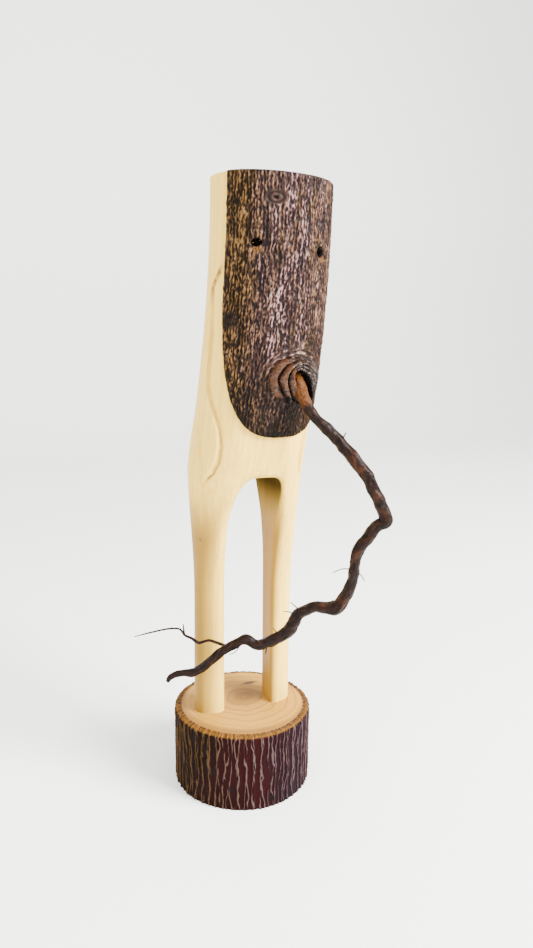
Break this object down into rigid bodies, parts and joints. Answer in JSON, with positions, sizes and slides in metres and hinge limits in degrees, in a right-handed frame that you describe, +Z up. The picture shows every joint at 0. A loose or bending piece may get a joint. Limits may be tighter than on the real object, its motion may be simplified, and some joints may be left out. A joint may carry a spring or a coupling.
{
  "type": "carved branch figure",
  "caption": "Standing two-legged figure carved from one branch, with a bark face, a knot collar and a long bent root for a nose, on a bark-edged log slice.",
  "frame": {"origin": "middle of the underside of the log slice", "axes": "+Z up, the face looks along -Y, +X is the figure's own left"},
  "size_m": [0.1095, 0.0989, 0.3048],
  "materials": {
    "log_wood": "sanded end grain with growth rings, matt",
    "inner_bark": "thin dark inner bark, matt",
    "log_bark": "ridged bark, satin varnish",
    "dowel_wood": "turned dowel, bare",
    "carved_wood": "sanded pale wood, satin",
    "face_bark": "finely ridged bark, satin varnish",
    "knot_bark": "callus rolls of bark, gloss varnish",
    "root": "dark root bark, satin varnish"
  },
  "bodies": {
    "root": {"base_wood": "log_wood", "base_bast": "inner_bark", "base_bark": "log_bark", "leg_dowels": "dowel_wood", "figure_body": "carved_wood", "bark_face": "face_bark", "knot_collar": "knot_bark", "root_nose": "root", "side_rootlet": "root", "root_hairs": "root"}
  },
  "joints": []
}
